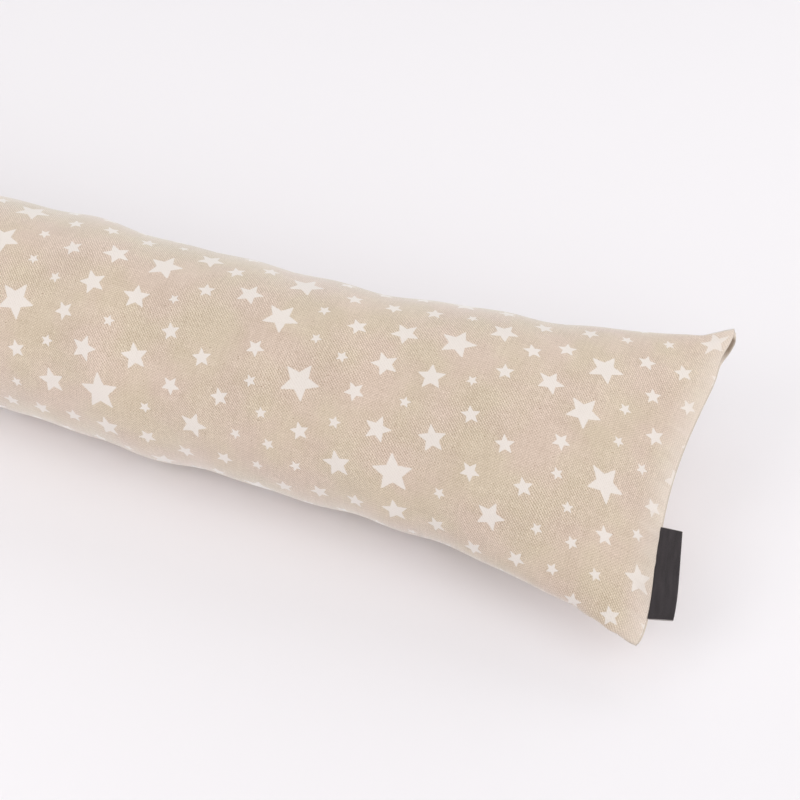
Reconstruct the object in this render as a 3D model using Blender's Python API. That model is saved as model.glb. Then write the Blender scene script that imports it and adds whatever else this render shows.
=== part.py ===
# Draught excluder: a filled fabric roll with flat-sewn ends and a folded side label.
# Metres, +Z up. The roll lies along X on its flat underside, with the labelled end at +X.

import math
from collections import namedtuple

import bmesh
import bpy
import numpy as np

# The case as it is cut and sewn, laid flat
CASE_LENGTH = 0.900            # from end seam to end seam
CASE_WIDTH = 0.205             # from fold to fold, which is also the length of an end seam

# How the filled case lies
AXIS_HEIGHT = 0.0583           # middle of the roll above the floor
SEAM_TILT = math.radians(16.7)  # an end seam climbs from its front corner to its back corner
UNDERSIDE_ROUNDING = 0.0008    # how softly the flat underside turns up into the sides
SMALLEST_REACH = 0.003         # the lumps are taken as if no point lay nearer to the axis than this
STEEPEST_FOLD_IN = 0.25        # least share of a short stretch of cloth that still runs along X
SEAM_EASE = 0.0030             # how far the cloth gives, so that a seam's middle is drawn in less
SEAM_EASE_END = 0.060          # the give fades out over this distance from the seam
EAR_LIFT = 0.0028              # how far the back corner of a seam curls up
EAR_WIDTH = 0.30               # share of the half seam that curls
EAR_LENGTH = 0.030             # how far along the roll the curl reaches

# The side label, one ribbon folded in two and caught in the end seam
LABEL_LENGTH = 0.055           # along the seam
LABEL_REACH = 0.0125           # out from the seam
LABEL_THICKNESS = 0.0012       # two layers of ribbon
LABEL_MIDDLE = -0.57           # place on the half seam: -1 front corner, 0 middle, 1 back corner
LABEL_RISE = 0.0027            # how far its free edge stands above the plane of the seam
LABEL_TWIST = 0.0008           # how much more it stands up at its front end
LABEL_WAVE = 0.0008            # how far its free edge waves up and down
PIECE_GAP = 0.0003             # left between two pieces that touch

# How finely the surfaces are divided
RINGS_PER_HALF = 34
POINTS_AROUND = 48
RING_CROWDING = 1.5            # above 1 draws the rings together near the end seams
LABEL_STEPS_ALONG = 12
LABEL_STEPS_OUT = 4

# The filled roll, one row for each section, measured along the cloth from an end seam.
# half_thickness is square to the seam, girth is a share of the case's full way round,
# and sideways is how far the middle of the section lies towards the back.
Section = namedtuple("Section", "from_seam half_thickness girth sideways")
SECTIONS = (
    Section(0.000, 0.0000, 1.000, 0.0000),
    Section(0.010, 0.0075, 0.978, -0.0010),
    Section(0.025, 0.0174, 0.964, -0.0018),
    Section(0.050, 0.0304, 0.957, -0.0006),
    Section(0.080, 0.0407, 0.956, -0.0004),
    Section(0.120, 0.0495, 0.958, -0.0010),
    Section(0.170, 0.0558, 0.962, -0.0016),
    Section(0.230, 0.0606, 0.966, -0.0040),
    Section(0.300, 0.0612, 0.972, -0.0036),
    Section(0.450, 0.0642, 0.979, 0.0005),
)

# Gentle lumps of the filling: how many waves over the length and around, their height and start
Lump = namedtuple("Lump", "waves_along waves_around height start")
LUMPS = (
    Lump(7, 1, 0.0007, 0.8),
    Lump(11, 2, 0.0006, 2.1),
    Lump(17, 3, 0.0005, 4.4),
)
LUMP_FREE_END = 0.12           # the lumps fade out over this distance before an end seam

# Colours in linear light, read from the cloth and the ribbon by eye
CASE_COLOUR = (0.62, 0.52, 0.42, 1.0)
LABEL_COLOUR = (0.060, 0.052, 0.055, 1.0)


def column_at(column, distances):
    """A table column on a smooth curve through its rows, which never overshoots them."""
    knots = np.array([row.from_seam for row in SECTIONS])
    values = np.array([getattr(row, column) for row in SECTIONS])
    widths = np.diff(knots)
    rises = np.diff(values) / widths
    slopes = np.zeros(len(knots))
    slopes[0] = rises[0]
    for row in range(1, len(knots) - 1):
        if rises[row - 1] * rises[row] > 0:
            slopes[row] = 2 / (1 / rises[row - 1] + 1 / rises[row])
    left = np.clip(np.searchsorted(knots, distances, side="right") - 1, 0, len(widths) - 1)
    width = widths[left]
    along = (distances - knots[left]) / width
    return (values[left] * (1 + 2 * along) * (1 - along) ** 2
            + slopes[left] * width * along * (1 - along) ** 2
            + values[left + 1] * (3 - 2 * along) * along ** 2
            + slopes[left + 1] * width * (along - 1) * along ** 2)


def oval_girth(half_width, half_thickness):
    """Length all round an oval, by Ramanujan's formula."""
    both = half_width + half_thickness
    mixed = (3 * half_width + half_thickness) * (half_width + 3 * half_thickness)
    return math.pi * (3 * both - np.sqrt(mixed))


def half_width_for(girth, half_thickness):
    """Half width of the oval with this girth and half thickness, found by halving."""
    narrow = np.zeros_like(girth)
    wide = girth / 4
    for _ in range(40):
        middle = (narrow + wide) / 2
        too_long = oval_girth(middle, half_thickness) > girth
        wide = np.where(too_long, middle, wide)
        narrow = np.where(too_long, narrow, middle)
    return (narrow + wide) / 2


def oval_points(half_width, half_thickness):
    """Points spaced evenly along the cloth round an oval, from one end of its width."""
    turns = np.linspace(0, 2 * math.pi, 1441)
    across = half_width * np.cos(turns)
    through = half_thickness * np.sin(turns)
    travelled = np.concatenate(([0], np.cumsum(np.hypot(np.diff(across), np.diff(through)))))
    wanted = np.linspace(0, travelled[-1], POINTS_AROUND, endpoint=False)
    turn = np.interp(wanted, travelled, turns)
    return half_width * np.cos(turn), half_thickness * np.sin(turn)


def filling_swell(distances):
    """How far the lumps push the cloth out, for each ring and each point around it."""
    along = distances[:, None] / CASE_LENGTH
    around = np.arange(POINTS_AROUND)[None, :] / POINTS_AROUND
    swell = np.zeros((len(distances), POINTS_AROUND))
    for lump in LUMPS:
        phase = 2 * math.pi * (lump.waves_along * along + lump.waves_around * around)
        swell += lump.height * np.sin(phase + lump.start)
    nearest_seam = np.minimum(distances, CASE_LENGTH - distances)
    fade = np.clip(nearest_seam / LUMP_FREE_END, 0, 1)
    return swell * (fade * fade * (3 - 2 * fade))[:, None]


def ring_distances():
    """Distance of each ring along the cloth from the +X seam, crowded towards both seams."""
    steps = np.arange(RINGS_PER_HALF + 1) / RINGS_PER_HALF
    near_half = CASE_LENGTH / 2 * steps ** RING_CROWDING
    far_half = CASE_LENGTH - near_half[-2::-1]
    return np.concatenate((near_half, far_half))


def lay_on_floor(heights):
    """Presses what would hang below the floor flat onto it, with a soft turn at its sides."""
    turning = (heights + UNDERSIDE_ROUNDING) ** 2 / (4 * UNDERSIDE_ROUNDING)
    pressed = np.where(heights < UNDERSIDE_ROUNDING, turning, heights)
    return np.where(heights <= -UNDERSIDE_ROUNDING, 0.0, pressed)


def places_along(distances, across, through):
    """X of every point, so that each lengthwise thread keeps its length as the roll widens."""
    lengths = np.diff(distances)[:, None]
    sideways_run = np.diff(across, axis=0) ** 2 + np.diff(through, axis=0) ** 2
    shortest = (STEEPEST_FOLD_IN * lengths) ** 2
    steps = np.sqrt(np.maximum(lengths ** 2 - sideways_run, shortest))
    from_start = np.concatenate((np.zeros((1, POINTS_AROUND)), np.cumsum(steps, axis=0)))
    return from_start[RINGS_PER_HALF] - from_start


def seam_ease(distances, across):
    """How far the cloth gives lengthwise near each seam: most in its middle, nothing at its corners."""
    nearest_seam = np.minimum(distances, CASE_LENGTH - distances)
    fade = np.clip(1 - nearest_seam / SEAM_EASE_END, 0, 1) ** 2
    place = across / across.max(axis=1, keepdims=True)
    share = np.where(place > 0, (1 - place ** 2) ** 2, 1 - place ** 4)
    outwards = np.where(distances < CASE_LENGTH / 2, 1, -1)
    return SEAM_EASE * share * (fade * outwards)[:, None]


def ear_lift(distances, across):
    """How far the cloth rises towards the back corner of each seam."""
    nearest_seam = np.minimum(distances, CASE_LENGTH - distances)
    fade = np.clip(1 - nearest_seam / EAR_LENGTH, 0, 1) ** 2
    place = across / across.max(axis=1, keepdims=True)
    curl = np.clip((place - 1 + EAR_WIDTH) / EAR_WIDTH, 0, 1) ** 2
    return EAR_LIFT * curl * fade[:, None]


def case_surface():
    """Every point of the filled case, as an array of rings, points around and coordinates."""
    distances = ring_distances()
    nearest_seam = np.minimum(distances, CASE_LENGTH - distances)
    half_thickness = column_at("half_thickness", nearest_seam)
    girth = column_at("girth", nearest_seam) * 2 * CASE_WIDTH
    half_width = half_width_for(girth, half_thickness)
    sideways = column_at("sideways", nearest_seam)
    ovals = [oval_points(*sizes) for sizes in zip(half_width, half_thickness)]
    across = np.array([oval[0] for oval in ovals])
    through = np.array([oval[1] for oval in ovals])
    along = places_along(distances, across, through) + seam_ease(distances, across)
    lift = ear_lift(distances, across)

    reach = np.maximum(np.hypot(across, through), SMALLEST_REACH)
    swollen = 1 + filling_swell(distances) / reach
    across = across * swollen
    through = through * swollen
    depth = across * math.cos(SEAM_TILT) - through * math.sin(SEAM_TILT) + sideways[:, None]
    height = across * math.sin(SEAM_TILT) + through * math.cos(SEAM_TILT) + AXIS_HEIGHT + lift
    return np.stack((along, depth, lay_on_floor(height)), axis=-1)


def add_object(name, mesh_edit, colour, roughness, collection):
    """Makes one named object of an edited mesh, with its own material."""
    mesh = bpy.data.meshes.new(name)
    mesh_edit.to_mesh(mesh)
    mesh_edit.free()
    mesh.shade_smooth()
    material = bpy.data.materials.new(name)
    material.use_nodes = True
    shader = material.node_tree.nodes["Principled BSDF"]
    shader.inputs["Base Color"].default_value = colour
    shader.inputs["Roughness"].default_value = roughness
    shader.inputs["Metallic"].default_value = 0.0
    mesh.materials.append(material)
    piece = bpy.data.objects.new(name, mesh)
    collection.objects.link(piece)
    return piece


def make_case(surface, collection):
    """The filled case: an open tube moved ring by ring to its sections, its ends closed by the seams."""
    tube = bmesh.new()
    bmesh.ops.create_cone(tube, cap_ends=False, segments=POINTS_AROUND, radius1=1, radius2=1, depth=1)
    lengthwise = [edge for edge in tube.edges if abs(edge.verts[0].co.z - edge.verts[1].co.z) > 0.5]
    bmesh.ops.subdivide_edges(tube, edges=lengthwise, cuts=2 * RINGS_PER_HALF - 1, use_grid_fill=True)
    for vert in tube.verts:
        ring = round((0.5 - vert.co.z) * 2 * RINGS_PER_HALF)
        turn = math.atan2(vert.co.y, vert.co.x) / (2 * math.pi)
        point = round(turn * POINTS_AROUND) % POINTS_AROUND
        vert.co = surface[ring, point]
    bmesh.ops.remove_doubles(tube, verts=tube.verts, dist=0.00001)
    resting = [face for face in tube.faces if all(vert.co.z == 0.0 for vert in face.verts)]
    bmesh.ops.dissolve_faces(tube, faces=resting)
    return add_object("filled_case", tube, CASE_COLOUR, 0.95, collection)


def seam_point(seam_line, place):
    """A point on the end seam, from -1 at its front corner to 1 at its back corner."""
    places = np.linspace(1, -1, len(seam_line))
    return [np.interp(-place, -places, seam_line[:, axis]) for axis in range(3)]


def make_label(seam_line, collection):
    """The folded side label: a thin block bent along the seam, with its free edge waved."""
    block = bmesh.new()
    bmesh.ops.create_cube(block, size=1)
    for axis, cuts in ((0, LABEL_STEPS_OUT - 1), (1, LABEL_STEPS_ALONG - 1)):
        crossing = [edge for edge in block.edges
                    if abs(edge.verts[0].co[axis] - edge.verts[1].co[axis]) > 0.5]
        bmesh.ops.subdivide_edges(block, edges=crossing, cuts=cuts, use_grid_fill=True)
    half_share = LABEL_LENGTH / CASE_WIDTH
    for vert in block.verts:
        out = vert.co.x + 0.5
        along = 2 * vert.co.y
        x, y, z = seam_point(seam_line, LABEL_MIDDLE + along * half_share)
        free_edge = LABEL_RISE - LABEL_TWIST * along + LABEL_WAVE * math.sin(math.pi * along)
        lift = vert.co.z * LABEL_THICKNESS + out * free_edge
        vert.co.x = x + PIECE_GAP + out * LABEL_REACH
        vert.co.y = y - lift * math.sin(SEAM_TILT)
        vert.co.z = z + lift * math.cos(SEAM_TILT)
    return add_object("side_label", block, LABEL_COLOUR, 0.6, collection)


def centre_lengthwise(pieces):
    """Shifts the pieces so that the middle of their whole length is at X = 0."""
    places = [vert.co.x for piece in pieces for vert in piece.data.vertices]
    middle = (min(places) + max(places)) / 2
    for piece in pieces:
        for vert in piece.data.vertices:
            vert.co.x -= middle


def main():
    for old in list(bpy.data.objects):
        bpy.data.objects.remove(old)
    collection = bpy.data.collections.new("draught_excluder")
    bpy.context.scene.collection.children.link(collection)
    surface = case_surface()
    case = make_case(surface, collection)
    seam_line = surface[0, : POINTS_AROUND // 2 + 1]
    label = make_label(seam_line, collection)
    centre_lengthwise((case, label))


main()
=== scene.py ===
import math
import random

import bmesh
import bpy
import numpy as np
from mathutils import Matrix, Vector


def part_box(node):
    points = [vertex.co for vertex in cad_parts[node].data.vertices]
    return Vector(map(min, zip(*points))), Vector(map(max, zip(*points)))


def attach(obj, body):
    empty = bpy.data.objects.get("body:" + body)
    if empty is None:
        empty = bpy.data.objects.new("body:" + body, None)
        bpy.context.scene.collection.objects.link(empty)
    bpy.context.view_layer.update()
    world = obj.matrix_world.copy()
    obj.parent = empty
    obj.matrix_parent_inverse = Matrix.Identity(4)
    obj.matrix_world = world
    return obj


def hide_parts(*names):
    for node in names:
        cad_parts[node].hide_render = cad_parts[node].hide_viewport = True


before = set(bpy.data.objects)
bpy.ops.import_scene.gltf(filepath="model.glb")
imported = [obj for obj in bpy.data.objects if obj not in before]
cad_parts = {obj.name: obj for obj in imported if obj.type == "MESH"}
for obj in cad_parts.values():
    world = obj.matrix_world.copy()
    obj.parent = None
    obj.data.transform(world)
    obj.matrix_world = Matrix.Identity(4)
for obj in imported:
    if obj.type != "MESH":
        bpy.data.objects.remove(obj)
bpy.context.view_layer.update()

# A draught excluder: a printed canvas case stuffed with fibre, its ends sewn flat, and a small
# folded ribbon label caught in one end seam. Metres, with the labelled end at +X.
mm = 0.001


def hexColour(text):     # sRGB hex to linear light
    channels = [int(text[i:i + 2], 16) / 255 for i in (1, 3, 5)]
    return [c / 12.92 if c <= 0.04045 else ((c + 0.055) / 1.055) ** 2.4 for c in channels] + [1.0]


def addNode(tree, kind, inputs=None, **settings):
    # inputs: socket name or number, to a value, a node (its first output) or a socket
    node = tree.nodes.new("ShaderNode" + kind)
    for name, value in settings.items():
        setattr(node, name, value)
    for socket, value in (inputs or {}).items():
        if isinstance(value, bpy.types.Node):
            value = value.outputs[0]
        if isinstance(value, bpy.types.NodeSocket):
            tree.links.new(value, node.inputs[socket])
        else:
            node.inputs[socket].default_value = value
    return node


def calc(tree, operation, *values):
    return addNode(tree, "Math", dict(enumerate(values)), operation=operation)


def mapped(tree, value, low, high, toLow=0.0, toHigh=1.0, soft=False):
    ends = {"Value": value, "From Min": low, "From Max": high, "To Min": toLow, "To Max": toHigh}
    return addNode(tree, "MapRange", ends, interpolation_type="SMOOTHSTEP" if soft else "LINEAR")


def mixed(tree, share, first, second):
    return addNode(tree, "Mix", {0: share, 6: first, 7: second}, data_type="RGBA").outputs[2]


def cloudy(tree, place, scale, detail):
    return addNode(tree, "TexNoise", {"Vector": place, "Scale": scale, "Detail": detail})


def newMaterial(name):
    material = bpy.data.materials.new(name)
    material.use_nodes = True
    return material, material.node_tree, material.node_tree.nodes["Principled BSDF"]


def placeInMm(tree, layer):
    uv = addNode(tree, "UVMap", uv_map=layer)
    return addNode(tree, "VectorMath", {0: uv, "Scale": 1 / mm}, operation="SCALE")


def newPiece(name, mesh, material):
    piece = bpy.data.objects.new(name, mesh)
    bpy.context.scene.collection.objects.link(piece)
    mesh.materials.append(material)
    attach(piece, "root")
    return piece


# The case

caseShape = dict(
    length=900 * mm,            # laid flat, from end seam to end seam
    width=205 * mm,             # laid flat, from fold to fold
    axisHeight=58.3 * mm,       # middle of the roll above the floor
    seamTilt=math.radians(16.7),    # an end seam climbs from its front corner to its back one
    underside=0.8 * mm,         # how softly the flat underside turns up
    smallestReach=3 * mm,       # the lumps are taken as if no point lay nearer to the axis than this
    steepest=0.2,               # least share of a stretch of cloth that still runs along X
    # in mm but for the girth: from the seam, half thickness, share of the full girth, offset to the back
    sections=(
        (0, 0, 1.000, 0.0),
        (10, 7.5, 0.978, -1.0),
        (25, 17.4, 0.964, -1.8),
        (50, 30.4, 0.957, -0.6),
        (80, 40.7, 0.956, -0.4),
        (120, 49.5, 0.958, -1.0),
        (170, 55.8, 0.962, -1.6),
        (230, 60.6, 0.966, -4.0),
        (300, 61.2, 0.972, -3.6),
        (450, 64.2, 0.979, 0.5),
    ),
    # waves along, waves around, height in mm, start
    lumps=((7, 1, 0.7, 0.8), (11, 2, 0.6, 2.1), (17, 3, 0.5, 4.4)),
    lumpFade=120 * mm,          # the lumps end this far from a seam
    # soft dents near the corners, in mm on the flat cloth: from the +X seam, around from the back
    # corner, degrees away from the seam's direction, half length, half width, depth
    dents=(
        (27, 213, 8, 17, 6.0, 1.1),
        (12, 207, -15, 7, 3.2, 0.6),
        (42, 208, 22, 15, 6.5, 0.8),
        (17, 3, -10, 13, 6.0, 1.0),
        (34, 398, 20, 14, 6.5, 0.8),
        (878, 208, -10, 15, 6.0, 1.0),
        (860, 212, -25, 14, 6.0, 0.8),
        (882, 6, 12, 13, 6.0, 0.9),
    ),
    ease=3 * mm,                # the cloth gives here, so that a seam's middle is drawn in less
    easeEnd=60 * mm,
    easeBack=2.0,               # how much that give keeps to the middle, on a seam's back half
    easeFront=1.2,
    # a place on the half seam runs from 0 in its middle to 1 at its corner
    earLift=2.8 * mm,           # how far the back corner of a seam curls up
    earWidth=0.30,              # share of the half seam that curls
    earLength=30 * mm,
    earPull=1.0 * mm,           # how far the back corner is pulled out along the roll
    earPullStart=0.82,          # place where the pull starts
    neck=2.0 * mm,              # depth of the seam's hollow beside that corner
    neckPlace=0.80,
    neckWidth=0.10,
    roll=(0.45 * mm, 2.3 * mm),     # radius of the rolled edge, in the middle and near the back corner
    rollStart=0.72,             # places between which it grows
    rollFull=0.88,
    frontRoll=0.15,             # how much of that growth the front corner has
    upperRoll=0.55,             # radius of the upper panel's bend, as a share of the lower one's
    rollEnd=6 * mm,             # the roll closes over this distance before a corner
    leastRoll=0.01 * mm,        # with a smaller radius, nothing is rolled
    rollFade=15 * mm,           # past the roll, the cloth is back in its place after this distance
    rollSlack=40 * mm,          # and the cloth that the roll uses up is made good over this one
    puckers=((0.45, 13.0, 0.4), (0.30, 7.3, 2.0)),   # height and spacing along the seam in mm, start
    puckerPeak=6 * mm,          # distance from the seam where they are highest
    puckerEnd=0.1,              # share of the half seam over which they end before a corner
    puckerLean=(1.4, -0.6),     # their size in the middle, and its change up to the back corner
    nearRings=26,               # rings in the first stretch beside a seam, crowded towards it
    nearStretch=24 * mm,
    crowding=1.5,
    ringStep=2.5 * mm,
    pointsAround=220,
    ovalSteps=2880,             # steps in which the way round an oval is measured
    halvings=40,                # rounds in which an oval's width is found
    weld=0.02 * mm,             # points closer than this become one
)


def sectionColumn(column, distances):    # a smooth curve through one column of the table
    rows = np.array(caseShape["sections"])
    knots = rows[:, 0] * mm
    values = rows[:, column]
    widths = np.diff(knots)
    rises = np.diff(values) / widths
    slopes = np.zeros(len(knots))
    slopes[0] = rises[0]
    for row in range(1, len(knots) - 1):
        if rises[row - 1] * rises[row] > 0:
            slopes[row] = 2 / (1 / rises[row - 1] + 1 / rises[row])
    left = np.clip(np.searchsorted(knots, distances, side="right") - 1, 0, len(widths) - 1)
    width = widths[left]
    t = (distances - knots[left]) / width
    return (values[left] * (1 + 2 * t) * (1 - t) ** 2 + slopes[left] * width * t * (1 - t) ** 2
            + values[left + 1] * (3 - 2 * t) * t ** 2 + slopes[left + 1] * width * (t - 1) * t ** 2)


def ovalGirth(a, b):
    return math.pi * (3 * (a + b) - np.sqrt((3 * a + b) * (a + 3 * b)))


def ovalHalfWidth(girth, b):     # by halving
    low, high = np.zeros_like(girth), girth / 4
    for _ in range(caseShape["halvings"]):
        middle = (low + high) / 2
        tooLong = ovalGirth(middle, b) > girth
        high, low = np.where(tooLong, middle, high), np.where(tooLong, low, middle)
    return (low + high) / 2


def ovalPoints(a, b, count):     # evenly spaced along the cloth, closed
    turns = np.linspace(0, 2 * math.pi, caseShape["ovalSteps"] + 1)
    across, through = a * np.cos(turns), b * np.sin(turns)
    travelled = np.concatenate(([0], np.cumsum(np.hypot(np.diff(across), np.diff(through)))))
    turn = np.interp(np.linspace(0, travelled[-1], count + 1), travelled, turns)
    return a * np.cos(turn), b * np.sin(turn)


def ringDistances():             # from the +X seam, crowded beside both seams
    s = caseShape
    half = s["length"] / 2
    near = s["nearStretch"] * (np.arange(s["nearRings"]) / s["nearRings"]) ** s["crowding"]
    steps = round((half - s["nearStretch"]) / s["ringStep"])
    firstHalf = np.concatenate((near, np.linspace(s["nearStretch"], half, steps + 1)))
    return np.concatenate((firstHalf, s["length"] - firstHalf[-2::-1]))


def layOnFloor(height):
    soft = caseShape["underside"]
    turning = (height + soft) ** 2 / (4 * soft)
    return np.where(height <= -soft, 0.0, np.where(height < soft, turning, height))


def smoothStep(t):
    t = np.clip(t, 0, 1)
    return t * t * (3 - 2 * t)


def turnSeam(nearest, outwards, rows, along, across, through):
    # The cloth was sewn inside out and turned, so the seam line lies in a groove. The lower panel
    # rolls half way round below it, and the upper one rises from it and bends inwards.
    s, count = caseShape, caseShape["pointsAround"]
    d = nearest[rows]
    places = across[rows[0]] / across[rows[0]].max()
    small, large = s["roll"]
    growth = smoothStep((np.abs(places) - s["rollStart"]) / (s["rollFull"] - s["rollStart"]))
    radii = small + (large - small) * np.where(places > 0, 1, s["frontRoll"]) * growth
    radii *= np.sqrt(np.clip((1 - np.abs(places)) * s["width"] / 2 / s["rollEnd"], 0, 1))
    before = [values[rows].copy() for values in (along, across, through)]
    for point in range(count + 1):
        lower = point > count / 2
        radius = radii[point] * (1 if lower else s["upperRoll"])
        if radius < s["leastRoll"]:
            continue
        bend = math.pi if lower else math.pi / 2
        used = radius * bend
        left = np.maximum(d - used * (1 - smoothStep((d - used) / s["rollSlack"])), 0)
        turned = np.minimum(d / radius, bend)
        near = 1 - smoothStep((d - used) / s["rollFade"])
        out = radius * np.sin(turned) if lower else -radius * (1 - np.cos(turned))
        up = -radius * (1 - np.cos(turned)) if lower else radius * np.sin(turned)
        along[rows, point] = np.interp(left, d, before[0][:, point]) + outwards * out * near
        across[rows, point] = np.interp(left, d, before[1][:, point])
        through[rows, point] = np.interp(left, d, before[2][:, point]) + up * near
    side = np.where(np.arange(count + 1) > count / 2, -1.0, 1.0)
    bare = np.clip((1 - np.abs(places)) / s["puckerEnd"], 0, 1)
    size, change = s["puckerLean"]
    for height, spacing, start in s["puckers"]:
        wave = height * mm * np.sin(math.pi * s["width"] / mm * places / spacing + start + side)
        shape = (d / s["puckerPeak"] * np.exp(1 - d / s["puckerPeak"])) ** 2
        through[rows] += (wave * side * bare * (size + change * places))[None, :] * shape[:, None]


def lumpsAndDents(distances, nearest):     # how far they push the cloth out
    s = caseShape
    around = np.arange(s["pointsAround"] + 1)[None, :] / s["pointsAround"]
    lengthwise = distances[:, None] / s["length"]
    swell = sum(height * mm * np.sin(2 * math.pi * (n * lengthwise + m * around) + start)
                for n, m, height, start in s["lumps"])
    swell = swell * smoothStep(nearest / s["lumpFade"])[:, None]
    girth = 2 * s["width"] / mm
    for fromEnd, fromBack, degrees, halfLength, halfWidth, deep in s["dents"]:
        dx = distances[:, None] / mm - fromEnd
        dy = (around * girth - fromBack + girth / 2) % girth - girth / 2
        turn = math.radians(degrees)
        lengthways = dy * math.cos(turn) + dx * math.sin(turn)
        sideways = dx * math.cos(turn) - dy * math.sin(turn)
        swell -= deep * mm * np.exp(-(lengthways / halfLength) ** 2 - (sideways / halfWidth) ** 2)
    return swell


def caseSurface(distances):      # rings x (points around + 1) x 3
    s, count = caseShape, caseShape["pointsAround"]
    nearest = np.minimum(distances, s["length"] - distances)
    b = sectionColumn(1, nearest) * mm
    a = ovalHalfWidth(sectionColumn(2, nearest) * 2 * s["width"], b)
    back = sectionColumn(3, nearest) * mm
    ovals = [ovalPoints(p, q, count) for p, q in zip(a, b)]
    across = np.array([oval[0] for oval in ovals])
    through = np.array([oval[1] for oval in ovals])

    lengths = np.diff(distances)[:, None]
    run = np.diff(across, axis=0) ** 2 + np.diff(through, axis=0) ** 2
    steps = np.sqrt(np.maximum(lengths ** 2 - run, (s["steepest"] * lengths) ** 2))
    fromSeam = np.concatenate((np.zeros((1, count + 1)), np.cumsum(steps, axis=0)))
    along = fromSeam[len(distances) // 2] - fromSeam
    outwards = np.where(distances < s["length"] / 2, 1, -1)
    give = np.clip(1 - nearest / s["easeEnd"], 0, 1) ** 2 * outwards
    places = across / across.max(axis=1, keepdims=True)
    ease = s["ease"] * (1 - places ** 2) ** np.where(places > 0, s["easeBack"], s["easeFront"])
    pull = s["earPull"] * smoothStep((places - s["earPullStart"]) / (1 - s["earPullStart"]))
    neck = s["neck"] * np.exp(-((places - s["neckPlace"]) / s["neckWidth"]) ** 2)
    along += (ease + pull - neck) * give[:, None]
    curl = np.clip((places - 1 + s["earWidth"]) / s["earWidth"], 0, 1) ** 2
    lift = s["earLift"] * curl * (np.clip(1 - nearest / s["earLength"], 0, 1) ** 2)[:, None]
    middle = len(distances) // 2
    turnSeam(nearest, 1, np.arange(middle), along, across, through)
    turnSeam(nearest, -1, np.arange(len(distances) - 1, middle, -1), along, across, through)

    reach = np.maximum(np.hypot(across, through), s["smallestReach"])
    grown = 1 + lumpsAndDents(distances, nearest) / reach
    across, through = across * grown, through * grown

    tilt = s["seamTilt"]
    depth = across * math.cos(tilt) - through * math.sin(tilt) + back[:, None]
    height = across * math.sin(tilt) + through * math.cos(tilt) + s["axisHeight"] + lift
    return np.stack((along, depth, layOnFloor(height)), axis=-1)


print("case: surface")
rings = ringDistances()
surface = caseSurface(rings)
nodeLow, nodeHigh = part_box("filled_case")
surface[..., 0] += (nodeLow.x + nodeHigh.x) / 2      # the case's middle, where the frame has it


starPrint = dict(
    seed=11,
    repeat=(180 * mm, 160 * mm),     # along, around
    sizes=((12.0 * mm, 5), (8.5 * mm, 10), (5.8 * mm, 20), (3.8 * mm, 14)),    # radius, how many
    vary=(0.93, 1.07),
    gap=15 * mm,                     # wished for between two stars
    push=4 * mm,                     # the most that one star moves another in a round
    rounds=60,
    claim=0.8,                       # share of its radius by which a star has first claim on the cloth
    batch=4000,                      # faces handled together
)


def starLayout():                # centres, sizes and turns of one repeat, scattered and then pushed apart
    p = starPrint
    rng = random.Random(p["seed"])
    radii = [radius for radius, count in p["sizes"] for _ in range(count)]
    rng.shuffle(radii)
    size = np.array(p["repeat"])
    centres = np.array([[rng.uniform(0, size[0]), rng.uniform(0, size[1])] for _ in radii])
    radii = np.array([radius * rng.uniform(*p["vary"]) for radius in radii])
    wished = radii[:, None] + radii[None, :] + p["gap"]
    for _ in range(p["rounds"]):
        apart = (centres[:, None] - centres[None] + size / 2) % size - size / 2
        far = np.hypot(apart[..., 0], apart[..., 1]) + np.eye(len(radii))
        push = np.clip(1 - far / wished, 0, 1)
        centres = (centres + p["push"] * (apart / far[..., None] * push[..., None]).sum(axis=1)) % size
    turns = [rng.uniform(0, 2 * math.pi) for _ in radii]
    return np.column_stack((centres, radii, turns))


def faceStars(flat, faces, stars):   # each face's nearest star, as centre x, y, radius and turn
    wide, high = starPrint["repeat"]
    centres = flat[faces].mean(axis=1)
    result = np.zeros((len(centres), 4))
    for start in range(0, len(centres), starPrint["batch"]):
        some = slice(start, start + starPrint["batch"])
        c = centres[some]
        dx = (c[:, None, 0] - stars[None, :, 0] + wide / 2) % wide - wide / 2
        dy = (c[:, None, 1] - stars[None, :, 1] + high / 2) % high - high / 2
        nearest = np.argmin(np.hypot(dx, dy) - starPrint["claim"] * stars[None, :, 2], axis=1)
        row = np.arange(len(c))
        result[some, 0] = c[:, 0] - dx[row, nearest]
        result[some, 1] = c[:, 1] - dy[row, nearest]
        result[some, 2:] = stars[nearest, 2:]
    return result


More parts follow.
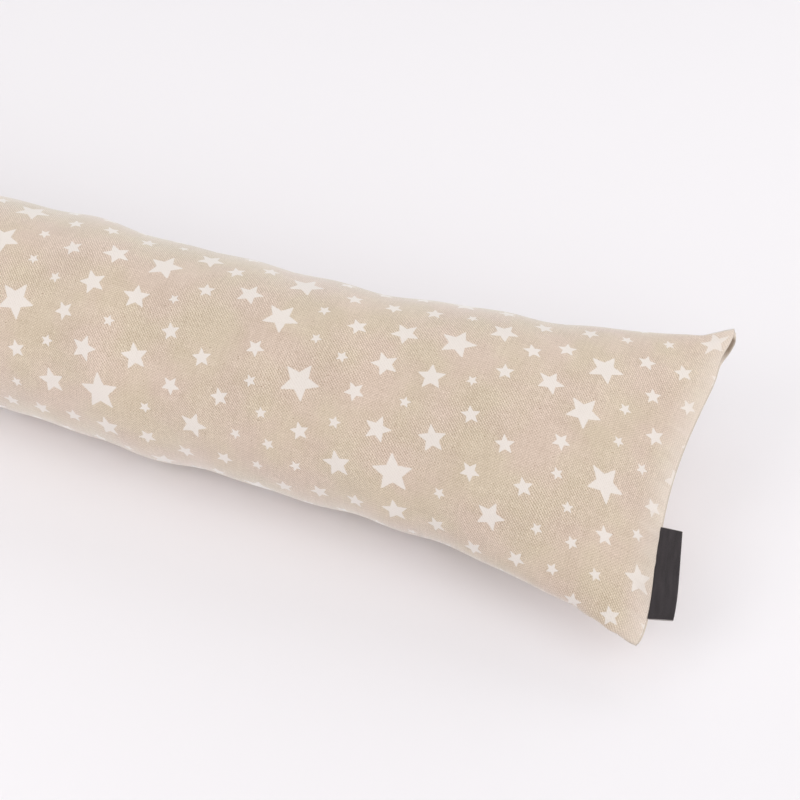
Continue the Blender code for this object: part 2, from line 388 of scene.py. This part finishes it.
def buildCase(material):
    ringCount, around = len(rings), caseShape["pointsAround"]
    bm = bmesh.new()
    bmesh.ops.create_grid(bm, x_segments=ringCount - 1, y_segments=around, size=0.5)
    flatLayer = bm.loops.layers.uv.new("clothPlace")
    starLayer = bm.loops.layers.uv.new("starPlace")
    cell = {}
    for vert in bm.verts:
        ring = round((vert.co.x + 0.5) * (ringCount - 1))
        point = round((vert.co.y + 0.5) * around)
        cell[vert] = (rings[ring], 2 * caseShape["width"] * point / around)
        vert.co = surface[ring, point]
    for face in bm.faces:
        for loop in face.loops:
            loop[flatLayer].uv = cell[loop.vert]
    bmesh.ops.remove_doubles(bm, verts=bm.verts, dist=caseShape["weld"])
    if bm.calc_volume(signed=True) < 0:
        bmesh.ops.reverse_faces(bm, faces=bm.faces)
    stars = starLayout()
    print("case: stars in one repeat", len(stars))
    flat = np.array([loop[flatLayer].uv[:] for face in bm.faces for loop in face.loops])
    counts = np.array([len(face.loops) for face in bm.faces])
    starts = np.concatenate(([0], np.cumsum(counts)[:-1]))
    corners = np.stack([starts, starts + 1, starts + 2, starts + np.minimum(3, counts - 1)], axis=1)
    own = np.repeat(faceStars(flat, corners, stars), counts, axis=0)
    offX, offY = (flat[:, 0] - own[:, 0]) / own[:, 2], (flat[:, 1] - own[:, 1]) / own[:, 2]
    starX = offX * np.cos(own[:, 3]) + offY * np.sin(own[:, 3])
    starY = offY * np.cos(own[:, 3]) - offX * np.sin(own[:, 3])
    index = 0
    for face in bm.faces:
        for loop in face.loops:
            loop[starLayer].uv = (starX[index], starY[index])
            index += 1
    mesh = bpy.data.meshes.new("printedCase")
    bm.to_mesh(mesh)
    bm.free()
    mesh.shade_smooth()
    return newPiece("printedCase", mesh, material)


# Natural half-panama cotton canvas, unbleached: matt, warm beige, with pairs of threads crossing in
# small blocks that line up into faint diagonals, darker flecks of seed husk, and an off-white
# pigment print that fills the weave a little.
canvas = dict(
    cloth=("#ECDACC", "#E9DBC7"),        # pinker and more like straw, in soft areas
    darkThread=("#B19A88", "#AF9B84"),
    fleck="#86694E",
    printed="#E2DAD4",
    paintedEndLight="#E6DAD0",     # painted light: the paler cloth on its slope down to each end seam
    paintedShade="#7A6856",      # painted shade: the dark in each seam's crease and under the curled back corner
    # scale in 1/mm and detail of each noise
    clouds=dict(stray=(0.12, 4.0), uneven=(1.0, 3.0), slubs=(1.0, 1.0), mottle=(0.045, 3.0),
                fibre=(2.2, 2.0), straw=(0.03, 2.0), flecks=(0.9, 1.0), ragged=(0.7, 2.0)),
    block=0.92,            # mm, one block of the weave, about two threads
    ridge=1.30,            # mm between the diagonals
    diagonal=(0.72, 0.69, 0.0),
    ridgeHeight=0.8,       # of the diagonals, as a share of the blocks' height
    drift=1.7,             # mm by which a thread may stray from its straight line
    uneven=(0.36, 0.66, -0.15, 1.5),     # no two threads alike: noise from and to, relief from and to
    slubStretch=(0.06, 1.1),             # along a yarn and across it
    # how much each part darkens the cloth
    toneStart=0.53,
    weaveTone=-0.42,
    slubTone=0.35,
    mottleTone=0.35,
    fibreTone=1.3,
    toneRange=(0.925, 2.225),
    strawRange=(0.38, 0.62),
    fleckStretch=(0.5, 1.1, 1.0),
    fleckRange=(0.71, 0.78),
    fleckMost=0.65,
    bump=0.045 * mm,
    fibreRelief=0.6,
    printFlattens=0.5,     # share of the relief that the print fills
    # in star radii
    starNotch=0.455,       # where the notches between a star's points lie
    blunt=(0.98, 0.90),    # where its tips end
    inkEdge=(0.06, 0.01),
    ragged=0.07,
    cover=(-1.5, 1.2, 0.80, 0.97),       # weave from and to, print from and to
    # mm from a seam's line where each starts and where it is full, and how strong it is
    # painted light: paler towards each end seam
    paintedEndLightBand=(19.0, 1.0, 0.50),
    # painted shade: dark in the crease of each seam
    creaseShade=(0.65, 0.15, 0.28),
    hollow=(5.0, 1.2, 0.95),             # in the shade under the curled back corner
    hollowCorner=(24.0, 13.0),           # and in mm from that corner, on the lower panel
    hollowTip=(3.5, 6.5),                # the tip itself stays pale
    roughness=0.92,
    specular=0.25,
    fuzz=0.75,             # paler where seen edge-on
    fuzzRoughness=0.5,
)


def canvasWeave(tree, inMm):     # its relief, its fibres and its colour
    c, clouds = canvas, canvas["clouds"]
    stray = cloudy(tree, inMm, *clouds["stray"]).outputs["Color"]
    stray = addNode(tree, "VectorMath", {0: stray, 1: (0.5, 0.5, 0.5)}, operation="SUBTRACT")
    drift = (c["drift"], c["drift"], 0.0)
    place = addNode(tree, "VectorMath", {0: stray, 1: drift, 2: inMm}, operation="MULTIPLY_ADD")
    xyz = addNode(tree, "SeparateXYZ", {0: place})
    waves = []
    for axis in ("X", "Y"):
        phase = calc(tree, "MULTIPLY", xyz.outputs[axis], math.pi / c["block"])
        waves.append(calc(tree, "SINE", phase))
    blocks = calc(tree, "MULTIPLY", *waves)
    slant = addNode(tree, "VectorMath", {0: place, 1: c["diagonal"]}, operation="DOT_PRODUCT")
    slant = calc(tree, "MULTIPLY", slant.outputs["Value"], 2 * math.pi / c["ridge"])
    even = calc(tree, "MULTIPLY_ADD", calc(tree, "SINE", slant), c["ridgeHeight"], blocks)
    uneven = mapped(tree, cloudy(tree, inMm, *clouds["uneven"]), *c["uneven"])
    weave = calc(tree, "MULTIPLY", even, uneven)     # about -1.9 to 1.9

    # yarns thicker and thinner along their length
    slubs = []
    along, aside = c["slubStretch"]
    for stretch in ((along, aside, 1.0), (aside, along, 1.0)):
        drawnOut = addNode(tree, "VectorMath", {0: inMm, 1: stretch}, operation="MULTIPLY")
        slubs.append(cloudy(tree, drawnOut, *clouds["slubs"]))
    slub = calc(tree, "ADD", *slubs)                 # about 1
    mottle = cloudy(tree, inMm, *clouds["mottle"])
    fibre = cloudy(tree, inMm, *clouds["fibre"])
    tone = calc(tree, "MULTIPLY_ADD", weave, c["weaveTone"], c["toneStart"])
    for part, strength in ((slub, "slubTone"), (mottle, "mottleTone"), (fibre, "fibreTone")):
        tone = calc(tree, "MULTIPLY_ADD", part, c[strength], tone)
    tone = mapped(tree, tone, *c["toneRange"])
    straw = mapped(tree, cloudy(tree, inMm, *clouds["straw"]), *c["strawRange"])
    threads = [mixed(tree, straw, hexColour(pink), hexColour(yellow))
               for pink, yellow in (c["cloth"], c["darkThread"])]
    cloth = mixed(tree, tone, *threads)
    fleckPlace = addNode(tree, "VectorMath", {0: inMm, 1: c["fleckStretch"]}, operation="MULTIPLY")
    flecks = cloudy(tree, fleckPlace, *clouds["flecks"])
    fleck = mapped(tree, flecks, *c["fleckRange"], toHigh=c["fleckMost"])
    return weave, fibre, mixed(tree, fleck, cloth, hexColour(c["fleck"]))


def starInk(tree, inMm, weave):  # how much print lies here, from the distance to the star's nearest edge
    halfPoint = math.pi / 5      # angle from the tip of a point to the notch beside it
    starUv = addNode(tree, "UVMap", uv_map="starPlace")      # in star radii
    radius = addNode(tree, "VectorMath", {0: starUv}, operation="LENGTH").outputs["Value"]
    xyz = addNode(tree, "SeparateXYZ", {0: starUv})
    angle = calc(tree, "ARCTAN2", xyz.outputs["Y"], xyz.outputs["X"])
    folded = calc(tree, "PINGPONG", angle, halfPoint)
    notch = canvas["starNotch"] * Vector((math.cos(halfPoint), math.sin(halfPoint)))
    edge = (notch - Vector((1, 0))).normalized()
    normal = Vector((edge.y, -edge.x))
    lean = calc(tree, "MULTIPLY", calc(tree, "COSINE", folded), normal.x)
    lean = calc(tree, "MULTIPLY_ADD", calc(tree, "SINE", folded), normal.y, lean)
    outside = calc(tree, "MULTIPLY_ADD", radius, lean, -normal.x)
    ragged = cloudy(tree, inMm, *canvas["clouds"]["ragged"])
    outside = calc(tree, "MULTIPLY_ADD", ragged, canvas["ragged"], outside)
    inked = mapped(tree, outside, *canvas["inkEdge"], soft=True)
    blunt = mapped(tree, radius, *canvas["blunt"], soft=True)
    cover = mapped(tree, weave, *canvas["cover"])
    return calc(tree, "MULTIPLY", calc(tree, "MULTIPLY", inked, blunt), cover)


def seamLightAndShade(tree, inMm, colour):
    # painted light and shade: paler towards both end seams, where the cloth slopes down to them, and
    # painted shade, dark in the crease of every seam, both end seams and the one that closes the case
    # lengthwise, and under the curled back corner
    c = canvas
    length, girth = caseShape["length"] / mm, 2 * caseShape["width"] / mm
    xyz = addNode(tree, "SeparateXYZ", {0: inMm})
    fromLines = []
    for axis, whole in (("X", length), ("Y", girth)):
        fromMiddle = calc(tree, "ABSOLUTE", calc(tree, "SUBTRACT", xyz.outputs[axis], whole / 2))
        fromLines.append(calc(tree, "SUBTRACT", whole / 2, fromMiddle))
    fromEnd = fromLines[0]
    # painted light: the cloth paler over its slope down to each end seam
    start, full, strength = c["paintedEndLightBand"]
    paintedEndLight = mapped(tree, fromEnd, start, full, toHigh=strength)
    colour = mixed(tree, paintedEndLight, colour, hexColour(c["paintedEndLight"]))
    # painted shade: a dark line in the crease of every seam
    start, full, strength = c["creaseShade"]
    fromLine = calc(tree, "MINIMUM", *fromLines)
    creased = mapped(tree, fromLine, start, full, toHigh=strength, soft=True)
    start, full, strength = c["hollow"]
    hollow = mapped(tree, fromEnd, start, full, toHigh=strength, soft=True)
    for start, full in (c["hollowCorner"], c["hollowTip"]):
        there = mapped(tree, xyz.outputs["Y"], girth - start, girth - full)
        hollow = calc(tree, "MULTIPLY", hollow, there)
    return mixed(tree, calc(tree, "MAXIMUM", creased, hollow), colour, hexColour(c["paintedShade"]))


def canvasMaterial():
    material, tree, shader = newMaterial("halfPanamaCottonCanvas")
    inMm = placeInMm(tree, "clothPlace")
    weave, fibre, cloth = canvasWeave(tree, inMm)
    inked = starInk(tree, inMm, weave)
    printed = mixed(tree, inked, cloth, hexColour(canvas["printed"]))
    tree.links.new(seamLightAndShade(tree, inMm, printed), shader.inputs["Base Color"])
    relief = calc(tree, "MULTIPLY_ADD", fibre, canvas["fibreRelief"], weave)
    flatter = calc(tree, "MULTIPLY_ADD", inked, -canvas["printFlattens"], 1.0)
    relief = calc(tree, "MULTIPLY", relief, flatter)
    bump = addNode(tree, "Bump", {"Height": relief, "Distance": canvas["bump"], "Strength": 1.0})
    tree.links.new(bump.outputs[0], shader.inputs["Normal"])
    shader.inputs["Roughness"].default_value = canvas["roughness"]
    shader.inputs["Specular IOR Level"].default_value = canvas["specular"]
    shader.inputs["Sheen Weight"].default_value = canvas["fuzz"]
    shader.inputs["Sheen Roughness"].default_value = canvas["fuzzRoughness"]
    return material


case = buildCase(canvasMaterial())
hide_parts("filled_case")


# The label: one ribbon folded in two, its fold outwards and its cut edges in the seam

labelShape = dict(
    length=55 * mm,          # along the seam
    reach=12.5 * mm,         # out from the seam
    tuckedIn=0.7 * mm,       # caught in the seam
    ribbon=0.25 * mm,        # thickness of one layer
    foldRadius=0.40 * mm,
    pressed=0.4,             # share of the fold's height left between the layers at the seam
    partedAt=1 / 3,          # share of the reach where they are fully apart
    middle=-0.57,            # place on the half seam, -1 at the front corner
    clear=0.32 * mm,         # its middle lies this far above the seam line, on the rolled edge
    rise=2.9 * mm,           # of the free edge above the plane of the seam
    twist=1.5 * mm,          # how much more it stands up at its front end
    wave=0.8 * mm,
    bulge=0.9 * mm,          # how far the fold bows out, a little in front of its middle
    bulgeMiddle=-0.3,
    askew=0.9 * mm,          # how much further out its front end is sewn
    drawnBack=1.4 * mm,      # how far the free corner of that end leans towards the back
    stepsAcross=56,
    stepsAlong=60,
)


def seamPoint(place):        # on the +X end seam, from -1 at its front corner to 1 at its back one
    line = surface[0, : caseShape["pointsAround"] // 2 + 1]
    places = np.linspace(1, -1, len(line))
    return [np.interp(-place, -places, line[:, axis]) for axis in range(3)]


def buildLabel(material):
    s = labelShape
    tilt = caseShape["seamTilt"]
    straight = s["reach"] + s["tuckedIn"] - s["foldRadius"]
    halfCut = straight + math.pi * s["foldRadius"] / 2
    bm = bmesh.new()
    bmesh.ops.create_grid(bm, x_segments=s["stepsAcross"], y_segments=s["stepsAlong"], size=0.5)
    layer = bm.loops.layers.uv.new("ribbonPlace")
    for face in bm.faces:
        for loop in face.loops:
            loop[layer].uv = (loop.vert.co.x * 2 * halfCut, loop.vert.co.y * s["length"])
    for vert in bm.verts:
        cut = vert.co.x * 2 * halfCut
        bend = abs(cut) / s["foldRadius"]
        if bend < math.pi / 2:
            out = straight + s["foldRadius"] * math.cos(bend)
            lift = s["foldRadius"] * math.sin(bend)
        else:
            out = straight - (abs(cut) - math.pi * s["foldRadius"] / 2)
            lift = s["foldRadius"]
        out -= s["tuckedIn"]
        share = max(out, 0) / s["reach"]
        along = 2 * vert.co.y
        parted = min(1, share / s["partedAt"])
        lift = math.copysign(lift, cut) * (s["pressed"] + (1 - s["pressed"]) * parted)
        x, y, z = seamPoint(s["middle"] + along * s["length"] / caseShape["width"])
        freeEdge = s["rise"] - s["twist"] * along + s["wave"] * math.sin(math.pi * along)
        lift += s["clear"] + share * freeEdge
        fromBulge = (along - s["bulgeMiddle"]) / (1 - s["bulgeMiddle"])
        out += share * s["bulge"] * (1 - fromBulge ** 2) - s["askew"] * along
        lean = share * s["drawnBack"] * max(0, -along)
        y += lean * math.cos(tilt) - lift * math.sin(tilt)
        z += lean * math.sin(tilt) + lift * math.cos(tilt)
        vert.co = (x + out, y, z)
    mesh = bpy.data.meshes.new("foldedLabel")
    bm.to_mesh(mesh)
    bm.free()
    mesh.shade_smooth()
    piece = newPiece("foldedLabel", mesh, material)
    thick = piece.modifiers.new("thickness", "SOLIDIFY")
    thick.thickness = s["ribbon"]
    thick.offset = 0
    return piece


# Woven polyester satin ribbon: charcoal, a faint sheen, partly painted as paler streaks along it, and
# very fine ribs, its heat-cut ends paler.
ribbon = dict(
    yarn="#272325",
    # the paler tone, partly grain and ribs, partly painted sheen in the streaks
    light="#403A3D",
    cut="#B9B2B0",
    cutWidth=0.35,           # mm
    rib=0.35,                # mm between the ribs, drawn a little coarse
    ribHeight=0.03 * mm,
    streakStretch=(0.35, 0.06, 1.0),
    clouds=dict(sheenStreaks=(1.0, 2.0), grain=(1.5, 2.0)),    # scale in 1/mm, detail
    ribTone=0.15,
    sheenStreakTone=1.6,
    toneRange=(0.7, 1.9),
    roughness=0.6,
    specular=0.3,
)


def ribbonMaterial():
    material, tree, shader = newMaterial("charcoalSatinRibbon")
    r = ribbon
    inMm = placeInMm(tree, "ribbonPlace")
    lengthPlace = addNode(tree, "SeparateXYZ", {0: inMm}).outputs["Y"]
    ribs = calc(tree, "SINE", calc(tree, "MULTIPLY", lengthPlace, 2 * math.pi / r["rib"]))
    drawnOut = addNode(tree, "VectorMath", {0: inMm, 1: r["streakStretch"]}, operation="MULTIPLY")
    # painted sheen: paler streaks along the ribbon
    sheenStreaks = cloudy(tree, drawnOut, *r["clouds"]["sheenStreaks"])
    grain = cloudy(tree, inMm, *r["clouds"]["grain"])
    tone = calc(tree, "MULTIPLY_ADD", ribs, r["ribTone"], grain)
    tone = calc(tree, "MULTIPLY_ADD", sheenStreaks, r["sheenStreakTone"], tone)
    tone = mapped(tree, tone, *r["toneRange"])
    yarn = mixed(tree, tone, hexColour(r["yarn"]), hexColour(r["light"]))
    halfLength = labelShape["length"] / 2 / mm
    cut = mapped(tree, calc(tree, "ABSOLUTE", lengthPlace), halfLength - r["cutWidth"], halfLength)
    tree.links.new(mixed(tree, cut, yarn, hexColour(r["cut"])), shader.inputs["Base Color"])
    bump = addNode(tree, "Bump", {"Height": ribs, "Distance": r["ribHeight"], "Strength": 1.0})
    tree.links.new(bump.outputs[0], shader.inputs["Normal"])
    shader.inputs["Roughness"].default_value = r["roughness"]
    shader.inputs["Specular IOR Level"].default_value = r["specular"]
    return material


print("label")
label = buildLabel(ribbonMaterial())
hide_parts("side_label")


# Floor, light and camera

studio = dict(
    floor="#F0EDF0",
    floorReach=4,                 # metres, to each side of the middle
    floorRoughness=0.9,
    floorSpecular=0.1,
    sky="#FFFFFF",
    skyStrength=0.15,
    sunSpread=math.radians(70),   # each sun is as wide and soft as a lit wall
    suns=(                        # towards the sun, strength
        ((0.0, 0.92, 0.39), 1.24),
        ((0.0, -0.75, 0.66), 0.49),
        ((0.55, -0.50, 0.67), 1.08),
        ((-0.55, -0.50, 0.67), 0.25),
        ((0.92, 0.0, 0.39), 0.57),
        ((0.0, 0.0, 1.0), 0.11),
    ),
    boxSize=0.8,                  # metres, each softbox
    boxes=(                       # place, aim, watts
        ((-0.5, -0.9, 0.8), (0.1, 0.0, 0.05), 4.2),
        ((-0.3, 0.1, 1.1), (-0.1, 0.0, 0.05), 1.3),
        ((0.7, 0.1, 1.1), (0.4, 0.0, 0.05), 0.6),
        ((1.2, 0.0, 0.7), (0.4, 0.0, 0.05), 0.8),
        ((1.0, 0.8, 0.7), (0.4, 0.0, 0.05), 1.8),
    ),
)


def placeLamp(light, place, towards):
    lamp = bpy.data.objects.new(light.name, light)
    lamp.location = place
    lamp.rotation_euler = towards.to_track_quat("Z", "Y").to_euler()
    lamp.visible_camera = False       # lights the scene, but isn't seen from other sides
    bpy.context.scene.collection.objects.link(lamp)


def buildFloor():
    bm = bmesh.new()
    bmesh.ops.create_grid(bm, x_segments=2, y_segments=2, size=studio["floorReach"])
    mesh = bpy.data.meshes.new("floor")
    bm.to_mesh(mesh)
    bm.free()
    material, tree, shader = newMaterial("paleFloor")
    shader.inputs["Base Color"].default_value = hexColour(studio["floor"])
    shader.inputs["Roughness"].default_value = studio["floorRoughness"]
    shader.inputs["Specular IOR Level"].default_value = studio["floorSpecular"]
    floor = bpy.data.objects.new("floor", mesh)
    bpy.context.scene.collection.objects.link(floor)
    mesh.materials.append(material)


def buildLight():
    world = bpy.data.worlds.new("studio")
    world.use_nodes = True
    backdrop = world.node_tree.nodes["Background"]
    backdrop.inputs["Color"].default_value = hexColour(studio["sky"])
    backdrop.inputs["Strength"].default_value = studio["skyStrength"]
    bpy.context.scene.world = world

    for number, (towards, strength) in enumerate(studio["suns"]):
        sun = bpy.data.lights.new(f"sun{number}", "SUN")
        sun.angle = studio["sunSpread"]
        sun.energy = strength
        placeLamp(sun, (0, 0, 0), Vector(towards))
    for number, (place, aim, watts) in enumerate(studio["boxes"]):
        box = bpy.data.lights.new(f"softbox{number}", "AREA")
        box.size = studio["boxSize"]
        box.energy = watts
        placeLamp(box, place, Vector(place) - Vector(aim))
    bpy.context.scene.view_settings.view_transform = "Standard"


view = dict(
    azimuth=20.15, elevation=46.0,         # degrees
    distance=1.013,
    target=(0.2805, -0.0362, 0.1037),
    focalPixels=1824,
    imagePixels=800,                       # width of the image that the focal length is given for
    sensor=36,                             # mm
    nearest=0.01,
)


def buildCamera():
    camera = bpy.data.cameras.new("camera")
    camera.sensor_width = view["sensor"]
    camera.lens = view["sensor"] * view["focalPixels"] / view["imagePixels"]
    camera.clip_start = view["nearest"]
    a, e = math.radians(view["azimuth"]), math.radians(view["elevation"])
    back = Vector((math.sin(a) * math.cos(e), -math.cos(a) * math.cos(e), math.sin(e)))
    eye = bpy.data.objects.new("camera", camera)
    eye.location = Vector(view["target"]) + back * view["distance"]
    eye.rotation_euler = (-back).to_track_quat("-Z", "Y").to_euler()
    bpy.context.scene.collection.objects.link(eye)
    bpy.context.scene.camera = eye


print("studio")
buildFloor()
buildLight()
buildCamera()
